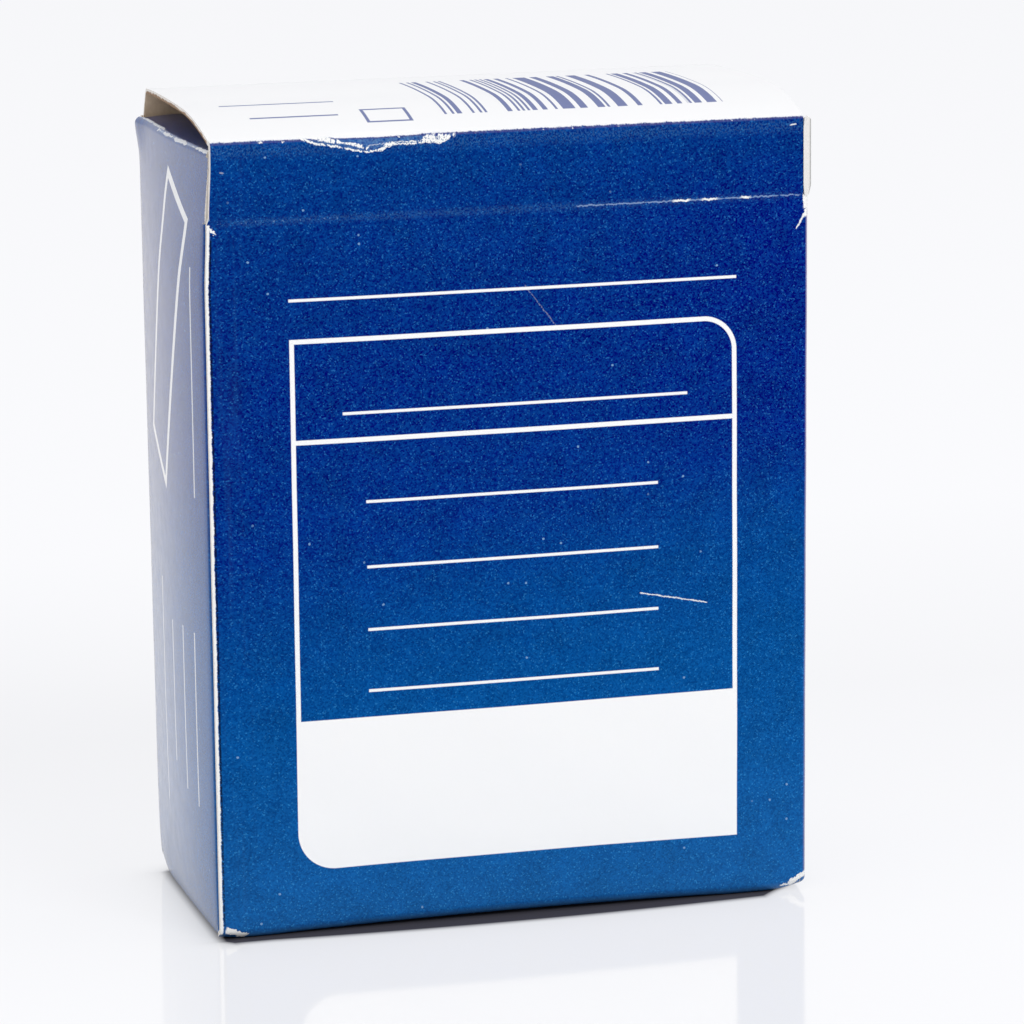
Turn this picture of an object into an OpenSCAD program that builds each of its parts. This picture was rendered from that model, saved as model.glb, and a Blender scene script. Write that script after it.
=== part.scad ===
// Box of glass microscope slides: a folding carton, standing upright, with its stack of slides.
// The carton is one sheet of coated board, folded round slides that stand on their short ends.
// Its lid is hinged on the front panel, a little below the top edge. A bowed top panel runs from
// the lid's front strip to a tuck, which goes down inside the back wall.
// +Z is up, the front faces -Y, and the origin is at the centre of the base.

/* [Slides] */
// Length of a slide, which stands upright in the carton
slide_l = 76; // [60:0.5:90]
// Width of a slide, from the front of the carton to its back
slide_w = 26; // [22:0.1:34]
// Thickness of a slide
slide_t = 1.1; // [0.9:0.05:1.4]
// Number of slides in the stack
slide_count = 50; // [30:1:50]
// Air between one slide and the next
slide_gap = 0.06; // [0.02:0.01:0.2]

/* [Board] */
// Thickness of the carton board
board_t = 0.5; // [0.35:0.05:0.7]
// Inner radius of a sharp fold
fold_in_r = 0.2; // [0.1:0.05:0.4]
// Inner radius of the soft fold under the front panel
base_fold_in_r = 0.5; // [0.2:0.05:0.6]

/* [Room inside] */
// Room between the stack and each side wall
side_room = 0.68; // [0.3:0.01:1.5]
// Room between the slides and the glue flap in front of them
front_room = 0.2; // [0.1:0.05:0.6]
// Room between the slides and the back wall, where the tuck goes in
back_room = 2.9; // [2.4:0.1:3.5]
// Room between the slides' top ends and the lid's front fold
head_room = 1; // [0.8:0.05:2]

/* [Lid] */
// Height of the lid's front strip, above the hinge crease
lid_strip_h = 8; // [6:0.1:10]
// Upward slope of the top panel where it leaves the front fold
lid_rise = 21; // [8:1:24]
// Length of the curved stretch behind the front fold
lid_curve_l = 10.5; // [6:0.5:12]
// Upward slope of the top panel after the curved stretch
lid_mid_slope = 2; // [0:0.5:4]
// Downward slope of the top panel at the back fold
lid_back_slope = 3.5; // [0:0.5:4]
// Length of the flat part of the tuck
tuck_l = 8.4; // [6:0.1:9]
// Radius of the tuck's lower corners
tuck_corner_r = 3; // [1:0.5:5]
// Clearance between the tuck and the walls
tuck_room = 0.15; // [0.1:0.05:0.3]
// Clearance between the lid's strip and the cut edges of the side walls
lid_room = 0.1; // [0.05:0.05:0.3]

/* [Flaps] */
// Width of the glue flap behind the front panel
glue_flap_w = 11; // [8:0.5:16]
// Length of each dust flap under the lid, from its fold to its tip
dust_flap_l = 13; // [9:0.5:14]
// Upward slope of a dust flap under the lid where it leaves its fold
dust_flap_rise = 6; // [2:1:8]
// Set-back of the dust flaps under the lid, from the outside of the front and of the back wall
dust_flap_inset = 2.2; // [2:0.1:4]
// How much a flap narrows on each side behind its fold
flap_taper = 3; // [2:0.5:5]
// Slope of the base's inner flaps, from the walls' lower folds up to their own level
base_flap_rise = 35; // [25:5:45]
// Gap between the two dust flaps of the base, where their tips meet
base_dust_gap = 0.6; // [0.3:0.1:1]
// Distance from the front of the carton to the cut edge of the inner base flap
inner_flap_inset = 6; // [5:0.5:10]
// Clearance between the cut edges of the base flaps and the sloping board beside them
base_flap_room = 0.1; // [0.05:0.05:0.3]

/* [Hidden] */
$fn = 48;
fold_step = 15; // degrees of a fold in each of its facets
bow_facets = 8; // facets along a bowed stretch
fold_out_r = fold_in_r + board_t;
base_fold_out_r = base_fold_in_r + board_t;

// The carton is sized from its contents. Three layers of board make its glued base.
stack_w = slide_count * slide_t + (slide_count - 1) * slide_gap;
box_w = stack_w + 2 * side_room + 2 * board_t;
box_d = slide_w + front_room + back_room + 3 * board_t;
base_t = 3 * board_t;
slides_top = base_t + slide_l;
box_h = slides_top + head_room + board_t;
half_w = box_w / 2;
half_d = box_d / 2;
hinge_z = box_h - lid_strip_h;
wall_top = slides_top + board_t;
side_fold_z = wall_top - fold_out_r;
sleeve_z = max(fold_out_r, base_fold_out_r) + board_t;
lap = board_t; // how far a flap's section runs into the wall that it is folded off

SLIDES = [for (i = [1:slide_count]) str("slide_", i < 10 ? "0" : "", i)];

// A folded strip of board is drawn by its middle line, as a list of steps. Each step is
// [length, turn, facets]: an arc turning left by that many degrees, or straight where turn is 0.
function flat(l) = [l, 0, 1];
function bow(l, turn) = [l, turn, bow_facets];
function fold(turn, in_r = fold_in_r) =
    [(in_r + board_t / 2) * abs(turn) * PI / 180, turn, ceil(abs(turn) / fold_step)];

function arc_end(p, heading, l, turn) = turn == 0
    ? p + l * [cos(heading), sin(heading)]
    : p + l / (turn * PI / 180)
        * [sin(heading + turn) - sin(heading), cos(heading) - cos(heading + turn)];

// Stations [x, y, heading] along the middle line, at the end of each facet
function stations(steps, p, heading, i = 0) = i == len(steps)
    ? []
    : let (l = steps[i][0], turn = steps[i][1], n = steps[i][2])
        concat(
            [for (k = [1:n]) concat(arc_end(p, heading, l * k / n, turn * k / n), heading + turn * k / n)],
            stations(steps, arc_end(p, heading, l, turn), heading + turn, i + 1)
        );

function beside(station, distance) =
    [station[0], station[1]] + distance * [-sin(station[2]), cos(station[2])];

module board(start, heading, steps) {
    line = concat([concat(start, heading)], stations(steps, start, heading));
    last = len(line) - 1;
    polygon([
        for (i = [0:last]) beside(line[i], -board_t / 2),
        for (i = [last:-1:0]) beside(line[i], board_t / 2)
    ]);
}

// A section in Y and Z, extruded along X
module along_x(x0, x1) {
    translate([x0, 0, 0]) rotate([90, 0, 90]) linear_extrude(x1 - x0) children();
}

// A section in X and Z, extruded along Y
module along_y(y0, y1) {
    translate([0, y1, 0]) rotate([90, 0, 0]) linear_extrude(y1 - y0) children();
}

module left_and_right() {
    children();
    mirror([1, 0, 0]) children();
}

// Puts a flap, drawn as growing along +Y from a wall at Y = 0, on one of the four walls
module at_wall(angle) {
    rotate(angle) translate([0, angle % 180 == 0 ? -half_d : -half_w, 0]) children();
}

// A flap folded off a wall's upper or lower end: the section in Y and Z that the steps give, cut
// to a shape seen from above. It runs into the wall at wall_z. The fold is as long as the wall.
// Behind it the flap starts root_w wide, and narrows over a sloping shoulder to tip_w.
module flap(wall_w, wall_z, heading, steps, root_w, tip_w) {
    fold_w = wall_w - 2 * fold_out_r;
    reach = wall_w + box_w;
    start = [board_t / 2, wall_z - lap * sin(heading)];
    intersection() {
        along_x(-fold_w / 2, fold_w / 2) board(start, heading, concat([flat(lap)], steps));
        linear_extrude(2 * box_h) polygon([
            [-fold_w / 2, 0], [fold_w / 2, 0], [fold_w / 2, fold_out_r], [root_w / 2, fold_out_r],
            [tip_w / 2, fold_out_r + flap_taper], [tip_w / 2, reach],
            [-tip_w / 2, reach], [-tip_w / 2, fold_out_r + flap_taper],
            [-root_w / 2, fold_out_r], [-fold_w / 2, fold_out_r]
        ]);
    }
}

// Right wall, back wall and left wall, up to the side walls' upper folds
module walls() {
    translate([0, 0, sleeve_z]) linear_extrude(side_fold_z - sleeve_z) board(
        [half_w - board_t / 2, -half_d + fold_out_r], 90,
        [
            flat(box_d - 2 * fold_out_r), fold(90), flat(box_w - 2 * fold_out_r), fold(90),
            flat(box_d - 2 * fold_out_r - board_t)
        ]
    );
    translate([-half_w + fold_out_r, half_d - board_t, side_fold_z - lap])
        cube([box_w - 2 * fold_out_r, board_t, fold_out_r + lap]);
}

// The front panel ends at the hinge crease. Its left edge is cut, and it is folded off the right wall.
module front_panel() {
    translate([0, 0, sleeve_z]) linear_extrude(hinge_z - sleeve_z) board(
        [-half_w, -half_d + board_t / 2], 0, [flat(box_w - fold_out_r), fold(90), flat(lap)]
    );
}

// Folded off the left wall and glued behind the front panel, whose cut edge laps over its fold
module glue_flap() {
    translate([0, 0, sleeve_z]) linear_extrude(hinge_z - sleeve_z - lid_room) board(
        [-half_w + board_t / 2, -half_d + board_t + fold_out_r + lap], -90,
        [flat(lap), fold(90), flat(glue_flap_w)]
    );
}

// Above the crease both side walls end in a cut edge, just behind the lid's strip on the left
// and beside it on the right
module cut_edges() {
    edge_h = side_fold_z - hinge_z;
    translate([-half_w, -half_d + board_t + lid_room, hinge_z])
        cube([board_t, fold_out_r + lap - lid_room, edge_h]);
    translate([half_w - board_t, -half_d + lid_room, hinge_z])
        cube([board_t, fold_out_r + lap - lid_room, edge_h]);
}

// Dust flap of the top: it springs up a little from its fold, and its tip rests on the slides
module top_dust_flap() {
    root_w = box_d - 2 * dust_flap_inset;
    flap(box_d, side_fold_z, 90, [fold(dust_flap_rise - 90), bow(dust_flap_l, -2 * dust_flap_rise)],
        root_w, root_w - 2 * flap_taper);
}

// An inner base flap goes round its wall's lower fold, up a short slope to its own layer of the
// base, which is counted from 0 at the bottom, and then level to its cut edge
slope_r = fold_in_r + board_t / 2;
function slope_l(layer) =
    (board_t * (layer + 0.5) - fold_out_r - slope_r * (1 - 2 * cos(base_flap_rise)))
        / sin(base_flap_rise);
function slope_depth(layer) = board_t / 2 + slope_r * (1 + 2 * sin(base_flap_rise))
    + slope_l(layer) * cos(base_flap_rise);

// Steps from the wall to a cut edge that is a given distance from the wall's outside
function inner_steps(layer, reach) = [
    flat(sleeve_z - fold_out_r), fold(90 + base_flap_rise), flat(slope_l(layer)),
    fold(-base_flap_rise), flat(reach - slope_depth(layer))
];

// The glued base: the front panel's flap lies outermost, then the back wall's, then the dust flaps
module base() {
    front_w = box_w - 2 * fold_out_r;
    side_w = box_d - 2 * fold_out_r;
    level_w = box_w - 2 * slope_depth(2) - 2 * base_flap_room;
    outer_l = box_d - base_fold_out_r - slope_depth(1) - base_flap_room;
    outer_steps = [flat(sleeve_z - base_fold_out_r), fold(90, base_fold_in_r), flat(outer_l)];
    at_wall(0) flap(box_w, sleeve_z, -90, outer_steps, front_w, level_w);
    at_wall(180)
        flap(box_w, sleeve_z, -90, inner_steps(1, box_d - inner_flap_inset), front_w, level_w);
    for (side = [-90, 90]) at_wall(side)
        flap(box_d, sleeve_z, -90, inner_steps(2, half_w - base_dust_gap / 2),
            side_w, side_w - 2 * flap_taper);
}

module carton() {
    color("#174a94") {
        walls();
        front_panel();
        glue_flap();
        cut_edges();
        for (side = [-90, 90]) at_wall(side) top_dust_flap();
        base();
    }
}

// Side section of the lid. The top panel's second stretch is as long as it takes for the tuck
// to hang just inside the back wall.
module lid_section() {
    start = [-half_d + board_t / 2, hinge_z];
    front = [
        flat(lid_strip_h - fold_out_r), fold(lid_rise - 90), bow(lid_curve_l, lid_mid_slope - lid_rise)
    ];
    line = stations(front, start, 90);
    curve_end = line[len(line) - 1];
    sag = -lid_mid_slope - lid_back_slope;
    tuck_y = half_d - board_t - tuck_room - board_t / 2;
    fold_depth = (fold_in_r + board_t / 2) * (1 - sin(lid_back_slope));
    sag_advance = arc_end([0, 0], lid_mid_slope, 1, sag)[0];
    back_l = (tuck_y - fold_depth - curve_end[0]) / sag_advance;
    board(start, 90, concat(front, [bow(back_l, sag), fold(lid_back_slope - 90), flat(tuck_l)]));
}

// The lid's outline from above: it narrows towards the tuck, which goes between the side walls
module lid_outline() {
    tuck_half_w = half_w - fold_out_r - tuck_room;
    polygon([
        [-half_w, -half_d], [half_w - board_t - lid_room, -half_d],
        [tuck_half_w, half_d], [-tuck_half_w, half_d]
    ]);
}

module tuck_corner_cut() {
    side = half_w - fold_out_r - tuck_room;
    low = box_h - fold_out_r - tuck_l;
    along_y(half_d - 2 * fold_out_r - board_t, half_d)
        translate([-side + tuck_corner_r, low + tuck_corner_r]) difference() {
            translate([-2 * tuck_corner_r, -2 * tuck_corner_r]) square(2 * tuck_corner_r);
            circle(tuck_corner_r);
        }
}

module lid() {
    color("#eef0f3") difference() {
        intersection() {
            along_x(-half_w, half_w) lid_section();
            translate([0, 0, hinge_z]) linear_extrude(2 * lid_strip_h) lid_outline();
        }
        left_and_right() tuck_corner_cut();
    }
}

// One slide of the stack, numbered from the left
module slide(number) {
    color("#cfe6df")
        translate([
            -stack_w / 2 + (number - 1) * (slide_t + slide_gap),
            -half_d + 2 * board_t + front_room,
            base_t
        ])
        cube([slide_t, slide_w, slide_l]);
}

carton();
lid();
for (i = [1:slide_count]) slide(i);
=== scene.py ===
# %% [markdown]
# # A box of microscope slides
# Fifty glass slides are sold in this small folding carton. It has seen a few years in a laboratory
# drawer: its folds are cracked white, one corner is crushed and the lid no longer lies flat. The packed
# CAD model is loaded first, with the exact sizes and the hinge of the lid. What is added here is the
# skin of the real thing: printed, torn and bent board around the same folds.

# %% Load the frame
import math

import bmesh
import bpy
import numpy as np
from mathutils import Matrix, Quaternion, Vector


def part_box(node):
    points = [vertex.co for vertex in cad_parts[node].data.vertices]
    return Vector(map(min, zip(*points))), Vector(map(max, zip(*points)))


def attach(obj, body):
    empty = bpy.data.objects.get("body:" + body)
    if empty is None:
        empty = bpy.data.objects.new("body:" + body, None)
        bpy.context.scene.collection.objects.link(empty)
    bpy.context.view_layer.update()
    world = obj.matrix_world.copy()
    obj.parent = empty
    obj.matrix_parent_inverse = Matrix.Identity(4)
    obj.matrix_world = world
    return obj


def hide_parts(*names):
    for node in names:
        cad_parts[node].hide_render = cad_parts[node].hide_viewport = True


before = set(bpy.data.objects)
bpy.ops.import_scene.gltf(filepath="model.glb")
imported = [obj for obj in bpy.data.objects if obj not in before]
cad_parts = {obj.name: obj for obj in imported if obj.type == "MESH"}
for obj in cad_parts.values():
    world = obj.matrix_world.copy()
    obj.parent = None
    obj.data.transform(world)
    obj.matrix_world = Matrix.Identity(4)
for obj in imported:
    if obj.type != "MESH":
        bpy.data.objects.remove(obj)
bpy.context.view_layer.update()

# %% [markdown]
# ## Sizes
# All lengths of the box are in millimetres, and the finished mesh is scaled once at the end. The
# outside sizes are read from the CAD nodes, so the looks can't drift away from them. The carton stands
# centred on the origin, with its front at -Y.

# %% Sizes in millimetres
MM = 0.001
carton_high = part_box("carton")[1] / MM
lid_low, lid_high = [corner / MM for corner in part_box("lid")]
half_w = round(carton_high.x, 3)  # half the width, 30.15
half_d = round(carton_high.y, 3)  # half the depth, 15.3
hinge_z = round(lid_low.z, 3)     # the crease that the lid turns about, 71
board_t = 0.5                     # thickness of the board
fold_r = 0.2 + board_t / 2        # radius of a fold, at the middle of the board
fold_out = fold_r + board_t / 2   # the same at its outside
base_fold_r = 0.5 + board_t / 2   # the softer fold under the front panel
sleeve_z = 1.5                    # where the four walls begin, above the folds of the base
side_fold_z = 77.3                # where the side walls fold over into the dust flaps
wall_top = 78.0                   # cut top edge of the back wall
strip_h = 8.0                     # height of the lid's front strip
crease_gap = 0.03                 # open line of the hinge crease
top_z = hinge_z + strip_h
print("carton", 2 * half_w, "x", 2 * half_d, "| hinge at", hinge_z, "| top edge at", top_z)

# %% [markdown]
# ## Camera
# The camera looks slightly down, from a little to the left and half a metre away. Its long lens keeps
# the upright edges nearly parallel.

# %% Camera
def add_object(name, data):
    made = bpy.data.objects.new(name, data)
    bpy.context.collection.objects.link(made)
    return made


camera_data = bpy.data.cameras.new("camera")
camera_data.lens = 182.92
camera_data.sensor_width = 36
camera_data.clip_start = 0.01
camera = add_object("camera", camera_data)
camera.location = (-0.140522, -0.496378, 0.141425)
camera.rotation_euler = [math.radians(angle) for angle in (78.6682, 0.5807, -16.3451)]
bpy.context.scene.camera = camera
bpy.context.scene.view_settings.view_transform = "Standard"
print("camera at", tuple(round(x, 3) for x in camera.location))

# %% [markdown]
# ## Shader maths
# A material here is a sum of many masks: where a line is printed, where a fold is worn. This class
# wraps one output socket and lets Python do the wiring. `a * b` adds a Math node, and `1 - a` works as
# well. Any other node comes from `node`, which takes its type, what its sockets get, and its settings.

# %% Shader maths
PRINT_SOFT = 0.07                 # how soft a printed edge is, in millimetres


class Field:
    """A number, colour or vector that changes over a surface: an output socket that Python can use."""

    def __init__(self, tree, socket=None):
        self.tree = tree
        self.socket = socket

    def node(self, kind, inputs=None, output=0, **settings):
        made = self.tree.nodes.new("ShaderNode" + kind)
        for name, value in settings.items():
            setattr(made, name, value)
        for name, value in (inputs or {}).items():
            if isinstance(value, Field):
                self.tree.links.new(value.socket, made.inputs[name])
            else:
                made.inputs[name].default_value = value
        return Field(self.tree, made.outputs[output])

    def math(self, operation, *values, clamp=False):
        return self.node("Math", dict(enumerate(values)), operation=operation, use_clamp=clamp)

    def __add__(self, other):
        return self.math("ADD", self, other)

    def __sub__(self, other):
        return self.math("SUBTRACT", self, other)

    def __rsub__(self, other):
        return self.math("SUBTRACT", other, self)

    def __mul__(self, other):
        return self.math("MULTIPLY", self, other)

    def __truediv__(self, other):
        return self.math("DIVIDE", self, other)

    def __abs__(self):
        return self.math("ABSOLUTE", self)

    def part(self, name):
        """X, Y or Z of a vector."""
        return self.node("SeparateXYZ", {0: self}, output=name)

    def channel(self, place):
        """Red, green or blue of a colour, as 0, 1 or 2."""
        return self.node("SeparateColor", {0: self}, output=place)

    def rise(self, low, high):
        """Climbs smoothly from 0 at low to 1 at high."""
        return self.node("MapRange", {0: self, 1: low, 2: high}, interpolation_type="SMOOTHSTEP")

    def ramp(self, stops):
        """A colour that follows this number, from a list of (number, colour)."""
        colour = self.node("ValToRGB", {0: self})
        elements = colour.socket.node.color_ramp.elements
        for place, (position, rgb) in enumerate(stops):
            stop = elements[place] if place < 2 else elements.new(position)
            stop.position, stop.color = position, (*rgb, 1)
        return colour

    def noise(self, scale, detail=3.0, rough=0.6, dimensions="2D"):
        settings = {"Vector": self, "Scale": scale, "Detail": detail, "Roughness": rough}
        return self.node("TexNoise", settings, noise_dimensions=dimensions)

    def least(self, other):
        return self.math("MINIMUM", self, other)

    def most(self, other):
        return self.math("MAXIMUM", self, other)

    def above(self, edge, soft=PRINT_SOFT):
        """0 below the edge and 1 above it, with a slope that is `soft` wide."""
        return self.math("MULTIPLY_ADD", self - edge, 1 / soft, 0.5, clamp=True)

    def below(self, edge, soft=PRINT_SOFT):
        return self.math("MULTIPLY_ADD", self - edge, -1 / soft, 0.5, clamp=True)

    def between(self, low, high, soft=PRINT_SOFT):
        return self.above(low, soft) * self.below(high, soft)

    def near(self, line, width, soft=PRINT_SOFT):
        """1 within half a width of the line."""
        return abs(self - line).below(width / 2, soft)


def any_of(mask, *others):
    """The strongest of several masks at each place."""
    for other in others:
        mask = mask.most(other)
    return mask


def mix(amount, first, second):
    """Blends two colours. Either may be a field, or a plain (r, g, b)."""
    guide = next(value for value in (amount, first, second) if isinstance(value, Field))
    ends = [value if isinstance(value, Field) else (*value, 1) for value in (first, second)]
    return guide.node("Mix", {0: amount, 6: ends[0], 7: ends[1]}, output=2, data_type="RGBA")


def ray(root, kind):
    """1 where a ray of that kind arrives: Camera, Glossy or Transmission."""
    return root.node("LightPath", output=f"Is {kind} Ray")


def new_material(name):
    """An empty material, and a Field to grow its nodes from."""
    material = bpy.data.materials.new(name)
    material.use_nodes = True
    material.node_tree.nodes.clear()
    return material, Field(material.node_tree)


def to_output(shader, kind="Material"):
    output = shader.tree.nodes.new("ShaderNodeOutput" + kind)
    shader.tree.links.new(shader.socket, output.inputs["Surface"])
    print("nodes:", len(shader.tree.nodes))


# %% [markdown]
# ## Light and floor
# The box stands on a white table in a white tent of light. Two broad lamps shape the soft light: one
# high in front, one overhead. What the camera and the gloss see is changed with Light Path. The
# background is plain white, and the room in front is dark, so the front panel keeps its deep blue
# while the side wall catches the bright wall behind it.

# %% World
WORLD_LIGHT = 0.68
world = bpy.data.worlds.new("light_tent")
bpy.context.scene.world = world
world.use_nodes = True
world.node_tree.nodes.clear()
air = Field(world.node_tree)
towards_back = air.node("TexCoord", output="Generated").part("Y")
seen_by_gloss = ray(air, "Glossy")
plain = ray(air, "Camera").most(ray(air, "Transmission"))
glow = towards_back.rise(-0.05, 0.35)  # gloss sees white behind the box and a dark room in front
strength = plain + (1 - plain) * (seen_by_gloss * glow + (1 - seen_by_gloss) * WORLD_LIGHT)
to_output(air.node("Background", {"Color": (0.97, 0.975, 1.0, 1), "Strength": strength}), "World")

# %% Lamps
def soft_lamp(name, place, aim, size, watts):
    lamp_data = bpy.data.lights.new(name, "AREA")
    lamp_data.shape = "DISK"
    lamp_data.size = size
    lamp_data.energy = watts
    lamp = add_object(name, lamp_data)
    lamp.location = place
    lamp.rotation_euler = (Vector(aim) - Vector(place)).to_track_quat("-Z", "Y").to_euler()
    lamp.visible_glossy = False


box_middle = (0, 0, 0.04)
soft_lamp("front_lamp", (0.35, -0.9, 0.75), box_middle, 0.6, 6.7)
soft_lamp("top_lamp", (0.1, 0.1, 1.1), box_middle, 0.7, 2.2)

# %% [markdown]
# ## Floor
# The table is a pale polished sheet. A dark contact shadow is painted into its colour under the box, and
# fades out around it. Further out it looks plain white, and a trace of gloss mirrors the box.

# %% Where the floor lies open
floor_material, ground = new_material("pale_floor")
spot = ground.node("TexCoord", output="Object")
spot_x, spot_y = spot.part("X"), spot.part("Y")
front_reach, arch_reach = 1.45, 1.1  # the painted shadow reaches out in front, most of all in its middle
arch_share = abs(spot_x / (0.85 * half_w * MM))
arch = (1 - arch_share.math("POWER", arch_share, 2)).most(0)
in_front = 0 - spot_y - (half_d + front_reach) * MM - arch * (arch_reach * MM)
cut_corners = (abs(spot_x - spot_y) - (half_w + half_d - 3.4) * MM).most(
    0 - spot_x - spot_y - (half_w + half_d + 0.8) * MM)
towards_front = ((half_d * MM - spot_y) / (2 * half_d * MM)).most(0).least(1)
at_left = 0 - spot_x - (half_w - 0.05) * MM - towards_front * (0.7 * MM)
outside = any_of(spot_x - half_w * MM, at_left, spot_y - half_d * MM, in_front, cut_corners)
open_floor = outside.above(0, 1.4 * MM)
# painted shade: it fades out around the box, most of all at its left
shadow_fades = ground.math("EXPONENT", outside.most(0) / (-1.2 * MM))
lit = 1 - shadow_fades * (spot_x.below(-(half_w - 1) * MM, 2 * MM) * 0.22 + 0.06)
near_box = ground.node("VectorMath", {0: spot}, output="Value", operation="LENGTH").below(0.3, 0.3)
print("the floor is dark under", 2 * half_w, "x", 2 * half_d, "mm")

# %% Floor material
# painted shadow: the floor's colour is dark under the box, and its colour and white glow are darkened by the
# fading shade
under = mix(open_floor * lit, (0.068, 0.066, 0.082), (0.9, 0.9, 0.92))
shaded = ground.node("BsdfDiffuse", {"Color": under})
mirror = ground.node("BsdfGlossy", {"Color": (1, 1, 1, 1), "Roughness": 0.08})
painted_grey_band = (1 - abs(spot_y - 0.07) / 0.1).most(0)  # painted shade: a soft grey band across the floor, 7 cm behind the box
white_glow = (1.0 - painted_grey_band * 0.06) * lit
white = ground.node("Emission", {"Color": (0.966, 0.969, 0.99, 1), "Strength": white_glow})
brightened = ground.node("MixShader", {0: ray(ground, "Camera") * open_floor * 0.84, 1: shaded, 2: white})
polished = ground.node("MixShader", {0: open_floor * near_box * 0.13, 1: brightened, 2: mirror})
bounce = spot_y.rise(-0.11, 0.05) * open_floor * 1.17  # what the side wall's gloss sees of the floor
reflected = ground.node("Emission", {"Color": (1, 0.97, 0.94, 1), "Strength": bounce})
to_output(ground.node("MixShader", {0: ray(ground, "Glossy"), 1: polished, 2: reflected}))

# %% Floor sheet
floor_mesh = bmesh.new()
bmesh.ops.create_grid(floor_mesh, x_segments=1, y_segments=1, size=4)
floor_data = bpy.data.meshes.new("floor")
floor_mesh.to_mesh(floor_data)
floor_mesh.free()
floor = add_object("floor", floor_data)
floor.data.materials.append(floor_material)
print("floor laid")

# %% [markdown]
# ## How board is folded
# A carton is one cut sheet that is creased and folded. Here a fold is an extrusion that turns: a row
# of edges is extruded a little, moved along its heading, and the heading turns a few degrees. A list
# of such facets describes any section, straight, folded or bowed. Each new point also keeps its place
# on the flat sheet in the attribute `flat`. The print is drawn on the flat sheet, as at the printer's,
# so every line runs round the folds by itself.

# %% Facets of a section
def straight(length, step=1.0):
    count = max(1, math.ceil(length / step - 0.001))
    return [(length / count, 0)] * count


def bowed(length, turn, facets):
    return [(length / facets, turn / facets)] * facets


def folded(turn, radius=fold_r, facet_turn=15):
    facets = math.ceil(abs(turn) / facet_turn)
    return bowed(radius * math.radians(abs(turn)), turn, facets)


# %% Rolling out and folding
def new_sheet():
    sheet = bmesh.new()
    sheet.verts.layers.float_vector.new("flat")
    return sheet


def flat_of(sheet):
    return sheet.verts.layers.float_vector["flat"]


def turned(heading, axis, degrees):
    return Quaternion(axis, math.radians(degrees)) @ Vector(heading)


def extruded(sheet, row):
    """Extrudes a row of edges in place. Returns the new points and the new row."""
    made = bmesh.ops.extrude_edge_only(sheet, edges=row)["geom"]
    verts = [item for item in made if isinstance(item, bmesh.types.BMVert)]
    new = set(verts)
    return verts, [e for e in made if isinstance(e, bmesh.types.BMEdge) and new.issuperset(e.verts)]


def first_row(sheet, start, flat_start, along, flat_along, steps):
    """A row of edges from a start point: the cut edge that the board is rolled out from."""
    flat = flat_of(sheet)
    tip = bmesh.ops.create_vert(sheet, co=start)["vert"][0]
    tip[flat] = Vector(flat_start)
    row = []
    for length, _ in steps:
        made = bmesh.ops.extrude_vert_indiv(sheet, verts=[tip])
        place = tip[flat] + Vector(flat_along) * length
        tip = made["verts"][0]
        tip[flat] = place
        bmesh.ops.translate(sheet, vec=Vector(along) * length, verts=[tip])
        row += made["edges"]
    return row


def pull(sheet, row, steps, heading, axis, flat_heading):
    """Extrudes a row of edges facet by facet. Turns are about the axis. Returns the last row."""
    flat = flat_of(sheet)
    for length, turn in steps:
        verts, row = extruded(sheet, row)
        bmesh.ops.translate(sheet, vec=turned(heading, axis, turn / 2) * length, verts=verts)
        for vert in verts:
            vert[flat] = vert[flat] + Vector(flat_heading) * length
        heading = turned(heading, axis, turn)
    return row


def narrow(sheet, row, share):
    """Draws a row in towards its middle, as the sloping shoulder of a flap does."""
    flat = flat_of(sheet)
    verts = list({vert for edge in row for vert in edge.verts})
    middle = sum((vert.co for vert in verts), Vector()) / len(verts)
    flat_middle = sum(vert[flat].x for vert in verts) / len(verts)
    runs_x = max(abs(vert.co.x - middle.x) for vert in verts) > 1
    size = (share, 1, 1) if runs_x else (1, share, 1)
    bmesh.ops.scale(sheet, vec=size, space=Matrix.Translation(-middle), verts=verts)
    for vert in verts:
        vert[flat].x = flat_middle + (vert[flat].x - flat_middle) * share


def row_between(sheet, low, high):
    """The edges whose both ends lie in a box of the flat sheet."""
    flat, slack = flat_of(sheet), 1e-3

    def in_box(place):
        return all(low[k] - slack <= place[k] <= high[k] + slack for k in (0, 1))

    return [edge for edge in sheet.edges if all(in_box(vert[flat]) for vert in edge.verts)]


# %% [markdown]
# ## The carton
# The sleeve is rolled out from the cut left edge of the front panel, round the right wall, the back and
# the left wall, to the glue flap behind the front. The waste above each wall is cut away. Then the
# flaps of the base and the dust flaps are pulled out of the walls' ends.

# %% The sleeve
front_l = 2 * half_w - fold_out
side_l = 2 * half_d - 2 * fold_out
back_l = 2 * half_w - 2 * fold_out
left_l = side_l - board_t
glue_l = 11.0
corner_l = sum(length for length, _ in folded(90))
u_front = front_l                 # places on the flat sheet, from the left edge of the front
u_right = u_front + corner_l
u_right_end = u_right + side_l
u_back = u_right_end + corner_l
u_back_end = u_back + back_l
u_left = u_back_end + corner_l
u_left_end = u_left + left_l
u_glue = u_left_end + corner_l
glue_top = hinge_z - 0.1

carton = new_sheet()
upright = (straight(glue_top - sleeve_z) + straight(hinge_z - crease_gap - glue_top)
           + straight(crease_gap) + straight(side_fold_z - hinge_z) + straight(wall_top - side_fold_z))
left_edge = first_row(carton, (-half_w, -half_d + board_t / 2, sleeve_z), (0, sleeve_z, 0),
                      (0, 0, 1), (0, 1, 0), upright)
around = (straight(fold_out) + straight(front_l - fold_out) + folded(90) + straight(side_l)
          + folded(90) + straight(back_l) + folded(90) + straight(left_l) + folded(90)
          + straight(glue_l))
pull(carton, left_edge, around, (1, 0, 0), (0, 0, 1), (1, 0, 0))
print("sleeve:", len(carton.faces), "faces,", round(u_glue + glue_l, 2), "mm round")

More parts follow.
